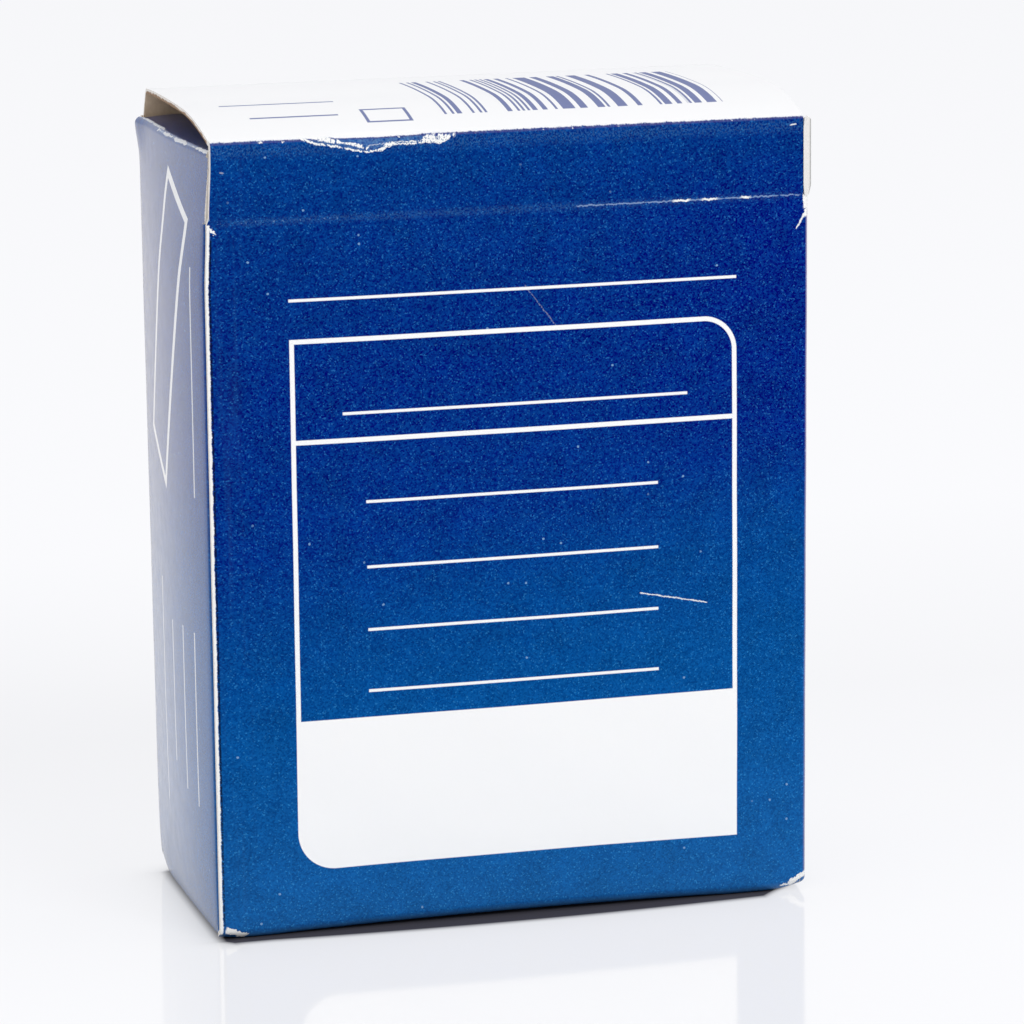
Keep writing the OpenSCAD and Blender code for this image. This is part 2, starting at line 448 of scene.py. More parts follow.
# %% Cutting away the waste
def cut_waste(sheet, *boxes):
    """Deletes the faces within each box of the flat sheet: from u0 to u1, and above v0."""
    flat = flat_of(sheet)
    waste = []
    for face in sheet.faces:
        middle = sum((vert[flat] for vert in face.verts), Vector()) / len(face.verts)
        if any(u0 < middle.x < u1 and middle.y > v0 for u0, u1, v0 in boxes):
            waste.append(face)
    bmesh.ops.delete(sheet, geom=waste, context="FACES")
    return len(waste)


cut = cut_waste(
    carton,
    (0, u_right, hinge_z - crease_gap),  # the lid goes here, and past the corner it is open
    (u_right, u_back, side_fold_z),
    (u_back_end, u_left_end, side_fold_z),
    (u_left_end, u_glue + glue_l, glue_top),
)
print("waste faces:", cut)

# %% Flaps of the walls
walls = {
    "front": (0, u_front, Vector((0, -1, 0))),
    "right": (u_right, u_right_end, Vector((1, 0, 0))),
    "back": (u_back, u_back_end, Vector((0, 1, 0))),
    "left": (u_left, u_left_end, Vector((-1, 0, 0))),
}
UP = Vector((0, 0, 1))


def flap(wall, z, steps, root_share=1.0, tip_share=1.0, shoulder=(0, 3)):
    """Pulls a flap out of the top or bottom edge of a wall and narrows it behind its fold."""
    u0, u1, outward = walls[wall]
    row = row_between(carton, (u0, z), (u1, z))
    sense = 1 if z > hinge_z else -1
    axis = UP.cross(outward)
    row = pull(carton, row, steps[0], UP * sense, axis, (0, sense, 0))
    if root_share < 1:
        narrow(carton, row, root_share)
    heading = turned(UP * sense, axis, sum(turn for _, turn in steps[0]))
    for place, facet in enumerate(steps[1]):
        row = pull(carton, row, [facet], heading, axis, (0, sense, 0))
        heading = turned(heading, axis, facet[1])
        if shoulder[0] <= place < shoulder[1]:
            done = [(k - shoulder[0]) / (shoulder[1] - shoulder[0]) for k in (place, place + 1)]
            reached = [root_share + (tip_share - root_share) * share for share in done]
            narrow(carton, row, reached[1] / reached[0])
    return row


# %% Flaps of the base
rise = 35  # an inner flap climbs this steeply behind its fold, to lie level on the board below it
rise_cos, rise_sin = math.cos(math.radians(rise)), math.sin(math.radians(rise))


def climb(layer):
    """Length of the slope up to that layer of board, where 0 is the outermost."""
    return (board_t * (layer + 0.5) - fold_out - fold_r * (1 - 2 * rise_cos)) / rise_sin


def fold_depth(layer):
    """How far in from the wall's face a flap of that layer lies level."""
    return board_t / 2 + fold_r * (1 + 2 * rise_sin) + climb(layer) * rise_cos


def inner_flap(layer, reach):
    bend = straight(sleeve_z - fold_out) + folded(90 + rise) + straight(climb(layer)) + folded(-rise)
    return bend, straight(reach - fold_depth(layer))


base_level_w = 2 * half_w - 2 * fold_depth(2) - 0.2
outer_l = 2 * half_d - base_fold_r - board_t / 2 - fold_depth(1) - 0.1
outer_turn = straight(sleeve_z - base_fold_r - board_t / 2) + folded(90, base_fold_r)
flap("front", sleeve_z, (outer_turn, straight(outer_l)), 1, base_level_w / front_l)
flap("back", sleeve_z, inner_flap(1, 2 * half_d - 6), 1, base_level_w / back_l)
for side in ("left", "right"):
    flap(side, sleeve_z, inner_flap(2, half_w - 0.3), 1, 1 - 6 / side_l)
print("with base:", len(carton.faces), "faces")

# %% Dust flaps under the lid
dust_root, dust_tip, dust_l = 2 * half_d - 4.4, 2 * half_d - 14.4, 13
dust = folded(6 - 90), bowed(dust_l, -12, dust_l)
for side in ("left", "right"):
    flap(side, side_fold_z, dust, dust_root / side_l, dust_tip / side_l, (3, 6))
print("with flaps:", len(carton.faces), "faces")

# %% Corners of the base
def round_corner(u0, u1, centre, drop):
    """Closes a lower corner of the sleeve: straight down a little, then in under it as a dome."""
    flat = flat_of(carton)
    row = row_between(carton, (u0, sleeve_z), (u1, sleeve_z))
    row = pull(carton, row, straight(drop), (0, 0, -1), (1, 0, 0), (0, -1, 0))
    to_centre, turn = Matrix.Translation(-Vector(centre)), math.radians(14)
    for step in range(1, 6):
        verts, row = extruded(carton, row)
        share = math.cos(turn * step) / math.cos(turn * (step - 1))
        bmesh.ops.scale(carton, vec=(share, share, 1), space=to_centre, verts=verts)
        sink = fold_r * (math.sin(turn * step) - math.sin(turn * (step - 1)))
        bmesh.ops.translate(carton, vec=(0, 0, -sink), verts=verts)
        for vert in verts:
            vert[flat].y -= sink


corner_x, corner_y = half_w - fold_out, half_d - fold_out
for u0, u1, x, y in (
        (u_front, u_right, corner_x, -corner_y), (u_right_end, u_back, corner_x, corner_y),
        (u_back_end, u_left, -corner_x, corner_y), (u_left_end, u_glue, -corner_x, -corner_y + board_t)):
    round_corner(u0, u1, (x, y, 0), sleeve_z - fold_out)
print("corners closed:", len(carton.faces), "faces")

# %% Cut edges beside the lid
BARE, CUT = 1, 2                  # material slots of board, after its printed face
edge_l = fold_out - 0.1           # from the wall's fold to its cut edge
flare_w = 0.48                    # the torn edge at the right is bent out by this much


def pull_edge(u_wall, flat_side):
    row = row_between(carton, (u_wall, hinge_z), (u_wall, side_fold_z))
    return pull(carton, row, straight(edge_l, 0.3), (0, -1, 0), (0, 0, 1), (flat_side, 0, 0))


flared = pull_edge(u_right, -1)
pull(carton, flared, straight(flare_w, 0.2), (1, 0, 0), (0, 0, 1), (-1, 0, 0))
for edge in row_between(carton, (u_right - 1.1, hinge_z), (u_right - 0.5, side_fold_z)):
    for face in edge.link_faces:
        face.material_index = CUT  # torn board, with no print on it
pull_edge(u_left_end, 1)
print("cut edges added:", len(carton.faces), "faces")

# %% [markdown]
# ## The lid
# The lid goes on from the hinge crease: a front strip, a fold, a top panel that springs up in a bow,
# and the tuck, which goes down behind the back wall. It is a sheet of its own, since it turns about the
# crease, and its mesh is finer, for the crushed edge.

# %% The lid's sheet
lid_rise, mid_slope, back_slope = 21, 2, 3.5  # slopes of the top panel, from front to back
curve_l, curve_facets = 10.5, 26
tuck_l = 8.4
fine_l = 2.7  # the dented stretch below the fold is fine
tuck_y = lid_high.y - board_t / 2


def run_y(steps, heading):
    """How far a section gets along Y."""
    reached = 0
    for length, turn in steps:
        reached += length * math.cos(math.radians(heading + turn / 2))
        heading += turn
    return reached


lid_front = (straight(strip_h - fold_out - fine_l, 0.6) + straight(fine_l, 0.3) + folded(lid_rise - 90)
             + bowed(curve_l, mid_slope - lid_rise, curve_facets))
lid_back_fold = folded(back_slope - 90)
sag, sag_facets = -mid_slope - back_slope, 24
curve_end = -half_d + board_t / 2 + run_y(lid_front, 90)
unit_advance = run_y(bowed(1, sag, sag_facets), mid_slope)
back_run = (tuck_y - run_y(lid_back_fold, -back_slope) - curve_end) / unit_advance
lid_steps = lid_front + bowed(back_run, sag, sag_facets) + lid_back_fold + straight(tuck_l)

lid = new_sheet()
lid_right = 2 * half_w - board_t - 0.1
lid_row = first_row(lid, (-half_w, -half_d + board_t / 2, hinge_z), (0, hinge_z, 0),
                    (1, 0, 0), (1, 0, 0), straight(lid_right, 0.5))
pull(lid, lid_row, lid_steps, (0, 0, 1), (1, 0, 0), (0, 1, 0))
v_fold = hinge_z + strip_h - fold_out
v_top = v_fold + fold_r * math.radians(90 - lid_rise)
v_back = v_top + curve_l + back_run
print("lid:", len(lid.faces), "faces, top panel from", round(v_top, 2), "to", round(v_back, 2))

# %% The lid narrows towards its tuck
tuck_half = half_w - fold_out - 0.15
tuck_end = min(vert.co.z for vert in lid.verts if vert.co.y > half_d - 2)
for vert in lid.verts:
    back_share = (vert.co.y + half_d) / (2 * half_d)
    left = -half_w + (half_w - tuck_half) * back_share
    right = lid_right - half_w + (tuck_half - lid_right + half_w) * back_share
    vert.co.x = left + (right - left) * (vert.co.x + half_w) / lid_right
print("tuck", round(2 * tuck_half, 2), "wide, ends at", round(tuck_end, 2))

# %% Rounding the tuck's corners
tuck_corner = 3.0
for side in (-1, 1):
    for angle in (15, 35, 55, 75):
        outward = turned((side, 0, 0), (0, side, 0), angle)
        centre = Vector((side * (tuck_half - tuck_corner), 0, tuck_end + tuck_corner))
        tuck = [f for f in lid.faces if f.calc_center_median().y > half_d - 1.2
                and f.calc_center_median().z < top_z - 2]
        geometry = list({item for face in tuck for item in (*face.verts, *face.edges)}) + tuck
        bmesh.ops.bisect_plane(lid, geom=geometry, plane_co=centre + outward * tuck_corner,
                               plane_no=outward, clear_outer=True)
print("tuck rounded:", len(lid.faces), "faces")

# %% [markdown]
# ## What handling has done
# No board box stays true. The front panel bellies out, the cut edge at the left stands proud, the left
# wall is bowed, corners of the base are crushed, and a thumb has dented the top edge. Each of these is
# a smooth field of displacement on the finished shape. Carton and lid get the same fields, so that
# they still meet at the crease.

# %% Fields of displacement
def unit(value):
    return np.clip(value, 0, 1)


def ease(value, start, end):
    t = unit((value - start) / (end - start))
    return t * t * (3 - 2 * t)


def hump(value, middle, reach):
    return np.exp(-((value - middle) / reach) ** 2)


def near_foot(z, reach):
    return np.exp(-np.clip(z, 0, None) / reach)


DENT_U, DENT_HALF, DENT_DEEP = 16.6, 8.6, 1.7
dent_tilt = math.radians(27)


def handled(place, flat):
    """Moves points of the true carton to where years of handling have left them."""
    x, y, z = place.T.copy()
    u, v = flat[:, 0], flat[:, 1]
    flare = unit((x - half_w + board_t / 2) / flare_w)  # 1 at the rim of the torn edge
    across = x / half_w
    height = unit(z / top_z)
    at_front = 1 - ease(y, -13, -6)

    # the dent in the top edge: a slanting press that is deepest in the middle
    depth_here = DENT_DEEP * unit(1 - np.abs((x + half_w - DENT_U) / DENT_HALF) ** 1.7)
    n_y, n_z = -math.cos(dent_tilt), math.sin(dent_tilt)
    press = (y + half_d) * n_y + (z - top_z) * n_z + depth_here * n_z
    press = np.clip(press, 0, None) * (y < 0) * (depth_here > 0)
    y -= press * n_y
    z -= press * n_z

    # the belly of the front panel
    y -= 0.5 * (1 - across ** 2) * np.sin(np.pi * height) ** 0.8 * at_front

    # the corner at the front left leans out, most of all at its foot, and its cut edge lifts
    lean = 0.7 - 0.25 * ease(z, 64, 71) - 0.47 * ease(z, 71, 77.5)
    corner = unit(1 - (x + half_w) / 6) ** 2
    on_front = y < -half_d + board_t * 0.9
    x -= (lean - 0.2 * (z > hinge_z) * (1 - ease(z, 71, 77.5))) * corner * on_front
    y -= (0.22 - 0.1 * height) * unit(1 - (x + half_w) / 1.6) ** 2 * on_front

    # the left wall bellies out behind it
    at_left = unit(1 - (x + half_w) / 8)
    forward = unit((half_d - y) / (2 * half_d))
    stiff = (1 - near_foot(z, 6)) * (1 - 0.35 * ease(z, 62, 79))
    x -= 2.3 * (forward - forward ** 3) * stiff * at_left * ~on_front
    x -= lean * forward * at_left * ~on_front

    # the right wall has a slight belly too
    at_right = unit(1 - (half_w - x) / 8)
    x += (0.26 * np.sin(np.pi * forward) * stiff + 0.27) * at_right

    # its cut edge beside the lid stands higher than the fold, and away from the lid
    in_edge = (z > hinge_z) * (x > half_w - board_t + 0.2)
    beside_lid = at_right * (1 - ease(y, -half_d, -half_d + 1.2)) * in_edge
    z += 1.5 * beside_lid * ease(z, 73, 77.3)
    x -= 0.12 * beside_lid * ease(z, 70.9, 71.6)

    # the torn rim of that edge starts at the crease and droops at its top
    x -= flare_w * flare * (1 - ease(z, 70.7, 71.5))
    z -= 0.35 * flare ** 2 * ease(z, 76, 78.8)

    # the sleeve is a little wider at its top than at its foot
    x -= 0.33 * height * at_left * ease(y, -12, 12)
    x += 0.09 * (1 - height) * at_left
    x -= 0.24 * (1 - height) * at_right

    # the back corner at the top left curls out
    x -= 0.45 * hump(z, 77.6, 2.4) * hump(y, half_d, 3.0) * at_left

    # the fold under the front is pushed up between its ends
    arch = np.sin(np.pi * unit((x + half_w - 5) / 47)) ** 0.7
    z += 0.45 * arch * np.exp(-(np.clip(z, 0, None) / 7) ** 2) * hump(y, -half_d - 0.3, 2.4)

    # the crushed corners of the base: at the back left, the front right and the front left
    z += 1.3 * hump(y, half_d, 3.4) * hump(x, -half_w, 5) * near_foot(z, 2.5)
    x += 0.35 * hump(y, half_d, 3) * hump(x, -half_w, 4) * near_foot(z, 2.5)
    z += 0.9 * hump(y, -half_d, 1.6) * hump(x, half_w, 1.8) * near_foot(z, 2.0)
    z += 0.6 * hump(y, -half_d, 1.2) * hump(x, -half_w - 0.6, 1.3) * near_foot(z, 1.2)

    # the hinge crease is a shallow furrow
    y += 0.05 * hump(v, hinge_z, 0.3) * (y < -half_d + board_t) * (u < u_front + 0.5)

    # and nothing is quite flat
    waves = np.sin(x * 0.31 + z * 0.17 + 1.3) * np.sin(z * 0.23 - y * 0.4 + 0.4)
    outwards_y = np.where(y < 0, -1, 1) * ease(np.abs(y), 12, 15)
    y += 0.05 * waves * outwards_y * ease(z, 2, 10) * (1 - ease(z, 70, 78))
    return np.stack([x, y, z], axis=1)


# %% [markdown]
# ## From sheet to board
# The Solidify modifier gives the sheet the board's half millimetre, half to each side, and puts its
# printed face, its bare inside and its cut rim on three material slots. Edges that turn sharply are
# marked sharp, so the cut edges stay crisp. The attribute `depth` is 1 on the bare side and 0 on the
# printed one, and shades the rim between them.

# %% Sheet to board
def as_board(sheet, name, materials):
    flat_layer = flat_of(sheet)
    sheet.verts.ensure_lookup_table()
    place = np.array([vert.co for vert in sheet.verts])
    flat = np.array([vert[flat_layer] for vert in sheet.verts])
    for vert, moved in zip(sheet.verts, handled(place, flat)):
        vert.co = Vector(moved)
    bmesh.ops.recalc_face_normals(sheet, faces=sheet.faces[:])
    foremost = min(sheet.faces, key=lambda face: face.calc_center_median().y)
    if foremost.normal.y > 0:
        bmesh.ops.reverse_faces(sheet, faces=sheet.faces[:])
    bmesh.ops.scale(sheet, vec=(MM, MM, MM), verts=sheet.verts[:])
    mesh = bpy.data.meshes.new(name)
    sheet.to_mesh(mesh)
    sheet.free()
    board = add_object(name, mesh)
    for material in materials:
        mesh.materials.append(material)
    wall = board.modifiers.new("board", "SOLIDIFY")
    wall.thickness = board_t * MM
    wall.offset = 0
    wall.use_even_offset = True
    wall.material_offset = BARE
    wall.material_offset_rim = CUT
    bpy.context.view_layer.objects.active = board
    bpy.ops.object.modifier_apply(modifier=wall.name)
    mesh = board.data
    mesh.polygons.foreach_set("use_smooth", [True] * len(mesh.polygons))
    mesh.set_sharp_from_angle(angle=math.radians(34))
    bare = {index for face in mesh.polygons if face.material_index == BARE for index in face.vertices}
    depth = mesh.attributes.new("depth", "FLOAT", "POINT")
    depth.data.foreach_set("value", [float(index in bare) for index in range(len(mesh.vertices))])
    print(name, "has", len(mesh.polygons), "faces and attributes", [a.name for a in mesh.attributes][:6])
    return board


# %% [markdown]
# ## Printed card
# The outside is one print on coated board: deep blue, with white lines and fields left open. It is
# drawn in flat millimetres, `u` round the walls and `v` upwards. What is printed is a mask, and so is
# what is worn away.

# %% Printed card
card_material, card = new_material("printed_card")
sheet_place = card.node("Attribute", output="Vector", attribute_name="flat")
u, v = sheet_place.part("X"), sheet_place.part("Y")
on_front = u.below(u_front + 0.4, 0.05)
on_lid = u.below(u_front + 0.5, 0.02)  # with v above the lid's edge
print("the front is", round(u_front, 2), "mm wide")

# %% The frame on the front and the back
panel_u = u - u.above(u_back - 0.5, 0.01) * (u_back - fold_out)  # across the front, or across the back
frame_left, frame_right = 7.44, 52.86
frame_foot, frame_head = 6.38, 59.39
field_top, divider_v = 21.56, 49.27
rule_w = 0.46


def rounded(left, right, foot, head, corner_head, corner_foot):
    mid_u, mid_v = (left + right) / 2, (foot + head) / 2
    right_half, upper_half = panel_u.above(mid_u, 0.01), v.above(mid_v, 0.01)
    radius = right_half * upper_half * corner_head + (1 - right_half) * (1 - upper_half) * corner_foot
    out_u = abs(panel_u - mid_u) - (right - left) / 2 + radius
    out_v = abs(v - mid_v) - (head - foot) / 2 + radius
    corner = card.math("SQRT", out_u.most(0) * out_u.most(0) + out_v.most(0) * out_v.most(0))
    return corner + out_u.most(out_v).least(0) - radius


frame_edge = rounded(frame_left, frame_right, frame_foot, frame_head, 3.4, 3.9)
in_frame = frame_edge.below(0)
frame_line = frame_edge.near(-rule_w / 2, rule_w)
white_field = in_frame * v.below(field_top)
divider = in_frame * v.near(divider_v, rule_w)
spans = [(63.2, frame_left, frame_right), (51.9, 12.6, 47.7)]
spans += [(height, 14.8, 44.6) for height in (43.1, 36.6, 30.35, 24.2)]
rules = [v.near(height, 0.28) * panel_u.between(left, right) for height, left, right in spans]
panel_print = any_of(frame_line, white_field, divider, *rules)
print("front and back print drawn")

# %% The slide drawn on the side walls
back_middle = (u_back + u_back_end) / 2
right_half = u.below(back_middle, 0.01)
behind = right_half * (u - u_right + fold_out) + (1 - right_half) * (u_left_end + fold_out + board_t - u)


def outline(corners, widths):
    """The outline of a four-sided figure on a side wall, from its corners in order, edge by edge."""
    outer, inner = [], []
    for (b0, v0), (b1, v1), width in zip(corners, corners[1:] + corners[:1], widths):
        length = math.hypot(b1 - b0, v1 - v0)
        normal = (v1 - v0) / length, -(b1 - b0) / length
        side = behind * normal[0] + v * normal[1] - (b0 * normal[0] + v0 * normal[1])
        outer.append(side - width / 2)
        inner.append(side + width / 2)
    return any_of(*outer).below(0) * any_of(*inner).above(0)


slide_corners = [(14.6, 74.3), (6.7, 70.5), (17.5, 42.8), (24.6, 47.4)]
side_lines = [behind.near(distance, 0.36) * v.between(foot, head) * 0.8 for distance, foot, head in (
    (5.0, 43.5, 66.2), (6.2, 12.2, 29.8), (10.8, 12.9, 29.6), (15.9, 14.6, 29.1), (21.6, 9.2, 32.4))]
side_print = any_of(outline(slide_corners, (0.95, 0.85, 0.8, 0.75)), *side_lines)
print("side walls printed")

# %% Bars on the lid
bar_left, bar_right, bar_front, bar_back = 23.6, 52.9, 82.45, 100.6
module = card.math("FLOOR", u * 3.9)  # a bar or a gap is one or more of these wide
dark_module = card.node("TexWhiteNoise", {"W": module + 7}, noise_dimensions="1D").above(0.5, 0.01)
bars = dark_module * u.between(bar_left, bar_right, 0.05) * v.between(bar_front, bar_back, 0.06)
ticket = (abs(u - 18.6) - 2.15).most(abs(v - 83.1) - 1.7)
ticket_line = ticket.near(0, 0.34, 0.06)
lower_rule = v.near(83.6, 0.34, 0.06) * u.between(5.2, 13.9, 0.06)
upper_rule = v.near(88.6, 0.4, 0.06) * u.between(3.4, 14.6, 0.06)
lid_marks = any_of(bars, ticket_line, lower_rule, upper_rule)
print("marks on the lid drawn")

# %% Noise that wear is made from
coarse, rough_edge, fine_edge = sheet_place.noise(0.55), sheet_place.noise(1.3), sheet_place.noise(5.0, 1.5)
wander = (rough_edge - 0.5) * 0.45 + (fine_edge - 0.5) * 0.25


def cells(scale, output):
    return card.node("TexVoronoi", {"Vector": sheet_place, "Scale": scale}, output, voronoi_dimensions="2D")


def speckle(scale):
    """A random number for each small cell of the sheet."""
    return cells(scale, "Color").channel(0)


fleck_scale = 0.55                # cells in a millimetre, of which few hold a fleck
fleck_cell, fleck_pick = cells(fleck_scale, "Distance"), speckle(fleck_scale)
fleck_size = fleck_pick * 0.1 - 0.025
flecks = (fleck_size - fleck_cell - fine_edge * 0.06 + 0.02).above(0, 0.02) * fleck_pick.above(0.965, 0.02)
print("noise laid over the sheet")

# %% Colour of the print
def scaled(colour, amount):
    return card.node("VectorMath", {0: colour, "Scale": amount}, operation="SCALE")


def joined(first, second, operation="ADD"):
    return card.node("VectorMath", {0: first, 1: second}, operation=operation)


# painted light and shade: the blue is lighter low down, where the floor lights the front, darkest above the
# middle and a little lighter at the top, in bands that slant across the front
painted_light_height = card.node("MapRange", {"Value": v - u.least(u_front) * 0.15, "From Min": -8, "From Max": top_z})
blue = painted_light_height.ramp([
    (0.0, (0.004, 0.09, 0.31)), (0.2, (0.0016, 0.078, 0.29)), (0.31, (0.001, 0.072, 0.28)),
    (0.42, (0.0004, 0.054, 0.252)), (0.52, (0.0002, 0.029, 0.222)), (0.7, (0.0001, 0.022, 0.204)),
    (0.88, (0.0001, 0.03, 0.208)), (1.0, (0.0003, 0.041, 0.224))])
painted_shade_right = u.above(47, 20) * v.between(45.5, 73, 6) * on_front * 0.62  # painted shade: the blue is darker towards the right of the front, in its upper half
blue = mix(painted_shade_right, blue, (0.0001, 0.012, 0.195))
mottle = (sheet_place.noise(0.3, rough=0.55) - 0.5) * 0.4 + 1.0
grain_light = scaled((0.003, 0.048, 0.12), speckle(7.0) - 0.5)
sparkle_light = scaled((0.012, 0.075, 0.13), speckle(8.0).above(0.95, 0.03))
toned_blue = joined(joined(scaled(blue, mottle), grain_light), sparkle_light)
chipped_blue = (0.16, 0.3, 0.52)  # where the blue is thin
toned_blue = mix(flecks, joined(toned_blue, (0, 0, 0), "MAXIMUM"), chipped_blue)
printed = mix(panel_print.most(side_print), toned_blue, (0.925, 0.92, 0.905))

lid_edge_v = 78.62                # above this the lid is white
lid_edge = v + (rough_edge - 0.5) * 0.22 + (fine_edge - 0.5) * 0.16
white_lid = lid_edge.above(lid_edge_v, 0.1) * on_lid
# painted shade: the lid's white is darker over its front fold, where the lamps light it most, and lighter
# towards the back
lid_white_with_painted_shade = mix(v.above(88, 12), (0.85, 0.838, 0.825), (0.9, 0.888, 0.875))
lid_colour = mix(lid_marks, lid_white_with_painted_shade, (0.17, 0.19, 0.35))
printed = mix(white_lid, printed, lid_colour)
print("print coloured")

# %% [markdown]
# ## Wear
# Coated board wears white: the blue skin cracks along a fold and the fibre below comes out. Every mark
# is a distance to a line on the flat sheet. A crack opens and closes as noise along its line says, and
# finer noise frays its edges.

# %% Strokes and cracks
def stroke(u0, v0, u1, v1, width, waver=1.0):
    """A worn line between two places of the flat sheet."""
    length = math.hypot(u1 - u0, v1 - v0)
    along_u, along_v = (u1 - u0) / length, (v1 - v0) / length
    along = (u - u0) * along_u + (v - v0) * along_v
    beside = (v - v0) * along_u - (u - u0) * along_v + wander * waver
    return abs(beside).below(width / 2, 0.08) * along.between(0, length, 0.15)


def broken(mask, share, source=None, soft=0.12):
    """Keeps about that share of a mask, in patches."""
    return mask * (source or rough_edge).above(1 - share, soft)


def noise_along(line, pace, seed):
    settings = {"W": line + seed, "Scale": pace, "Detail": 3.0, "Roughness": 0.6}
    return card.node("TexNoise", settings, noise_dimensions="1D")


def crack(line, distance, width, start, end, share, pace=0.9, seed=0.0, fray=0.16):
    """Dashes that open and close along a line, between two places on it."""
    opening = ((noise_along(line, pace, seed) - (1 - share)) * 7).most(0).least(1)
    wobble = (noise_along(line, pace * 1.7, seed + 31) - 0.5) * 0.3 + (fine_edge - 0.5) * fray
    edge = opening * (width / 2) - abs(distance + wobble)
    return edge.above(0, 0.06) * (opening * 4).least(1) * line.between(start, end, 0.3)


# %% Cracks in the dent
def drawn_line(stops):
    """A line that a crack follows: its height and its width, drawn over u between a few places."""
    start, end = stops[0][0], stops[-1][0]
    line = ((u - start) / (end - start)).ramp([
        ((place - start) / (end - start), ((height - 77) / 2, width, 0)) for place, height, width in stops])
    return line.channel(0) * 2 + 77, line.channel(1)


lower_v, lower_width = drawn_line([
    (8.9, 78.68, 0.16), (10.5, 78.22, 0.2), (12.1, 77.98, 0.2), (14.6, 77.4, 0.18), (15.5, 77.23, 0.18),
    (16.6, 77.35, 0.18), (17.2, 77.55, 0.42), (18.0, 77.9, 0.34), (18.5, 77.84, 0.1), (20.6, 77.84, 0.14),
    (21.5, 78.03, 0.26), (22.8, 77.92, 0.42), (24.3, 78.5, 0.3)])
upper_v, upper_width = drawn_line([
    (9.6, 78.72, 0.1), (11.5, 78.5, 0.34), (12.6, 78.3, 0.34), (13.0, 78.2, 0.1), (14.4, 77.95, 0.3),
    (15.4, 77.55, 0.38), (15.8, 77.8, 0.02), (18.4, 78.03, 0.06), (20.4, 78.03, 0.14), (21.6, 78.28, 0.52),
    (22.9, 78.3, 0.5), (23.8, 78.42, 0.16)])
lower_crack = crack(u, v - lower_v, lower_width, 8.9, 24.3, 0.72, 1.1, fray=0.2)
upper_crack = crack(u, v - upper_v, upper_width, 9.6, 23.8, 0.7, 1.3, 5, 0.2)
islands = 1 - fine_edge.above(0.6, 0.06) * 0.75  # specks of blue that still hold in a crack
dent_crack = lower_crack.most(upper_crack) * on_front * islands
in_dent = u.between(DENT_U - 6.6, DENT_U + 7.6, 0.5) * on_front
print("dent cracked")

# %% Cracked folds
crease = v - hinge_z
crease_open = any_of(u.between(46.4, 48.1, 0.4), u.between(49.4, 50.9, 0.4), u.between(53.4, 54.3, 0.4))
crease_wear = crack(u, crease, 0.24, 46, 55, 0.85, 1.2, 3) * crease_open * on_front
crease_pale = crack(u, crease, 0.17, 36.5, 59.3, 0.72, 1.0, 9, 0.1) * on_front * 0.55
fore_start, back_end = 159.4, 161.4  # the left fold is cracked in two runs, which overlap here
fore_v, back_v = 77.63, 77.86
back_crack = crack(u, v - back_v, 0.19, 150.3, back_end, 0.62, 0.24, 2, 0.02)
fore_crack = crack(u, v - fore_v, 0.24, fore_start, u_left_end + 0.3, 0.6, 0.24, 8, 0.02)
left_fold_wear = back_crack.most(fore_crack)
# painted highlight: a pale line along the crack lines of the left fold
fold_glint = (v.near(fore_v, 0.1, 0.1) * u.between(fore_start, 178.3, 0.3)).most(
    v.near(back_v + 0.02, 0.1, 0.1) * u.between(u_left, back_end, 0.3)) * 0.65
top_nicks = crack(u, v - lid_edge_v + 0.1, 0.14, 0.5, 59, 0.34, 0.8, 12) * on_front
on_back_left = u.above(back_middle, 0.01)
back_fold = abs(u - back_middle) - (u_back_end - u_back + corner_l) / 2
back_folds = crack(v, back_fold, 0.26, 1.5, 77.0, 0.46, 0.22, on_back_left * 41, 0.12)
back_foot = crack(u, v - 0.95, 0.24, u_right + 1, u_back_end + 0.5, 0.42, 0.25, 17, 0.12)
back_corner = broken(u.between(148.6, 151.4, 0.6) * v.below(1.5, 0.3), 0.55)
print("folds cracked")

# %% Torn corners, scratches and dark flecks
foot_left = stroke(0.45, 1.02, 2.4, 0.42, 0.5, 1.1)
foot_right = stroke(57.5, 0.62, 58.8, 0.62, 0.22, 1.2).most(stroke(58.4, 0.55, 60.6, 1.5, 0.6, 1.2))
side_tear = any_of(
    stroke(59.72, 68.9, 58.95, 67.65, 0.14, 0.6), stroke(60.1, 70.9, 59.8, 68.8, 0.36, 1.2),
    stroke(59.95, 71.1, 59.9, 69.6, 0.6, 0.8))
top_ticks = stroke(58.35, 77.93, 58.95, 77.98, 0.1, 0.3).most(stroke(0.95, 75.95, 1.3, 75.82, 0.1, 0.5) * 0.4)
cut_peel = (u + wander * 0.35).below(0.2, 0.06) * v.below(70.9, 0.1) * v.above(0.4, 0.3)
crease_end = stroke(0.0, 70.7, 0.75, 70.0, 0.2, 1.6)
scratches = broken(stroke(42.7, 32.05, 49.7, 30.6, 0.1, 0.5), 0.75).most(
    broken(stroke(31.1, 63.5, 34.6, 58.9, 0.06, 0.5), 0.6, fine_edge) * 0.3)
dark_flecks = fleck_cell.below(0.045, 0.02) * fleck_pick.below(0.05, 0.01) * u.above(u_left, 0.1)
black_speck = ((abs(u - 161.8) * 0.45).most(abs(v - 74.3)) + fine_edge * 0.1).below(0.2, 0.05)
worn = any_of(
    dent_crack, crease_wear, left_fold_wear, top_ticks, back_folds, back_foot, back_corner, top_nicks,
    foot_left, foot_right, side_tear, cut_peel, crease_end, scratches)
print("tears and scratches placed")

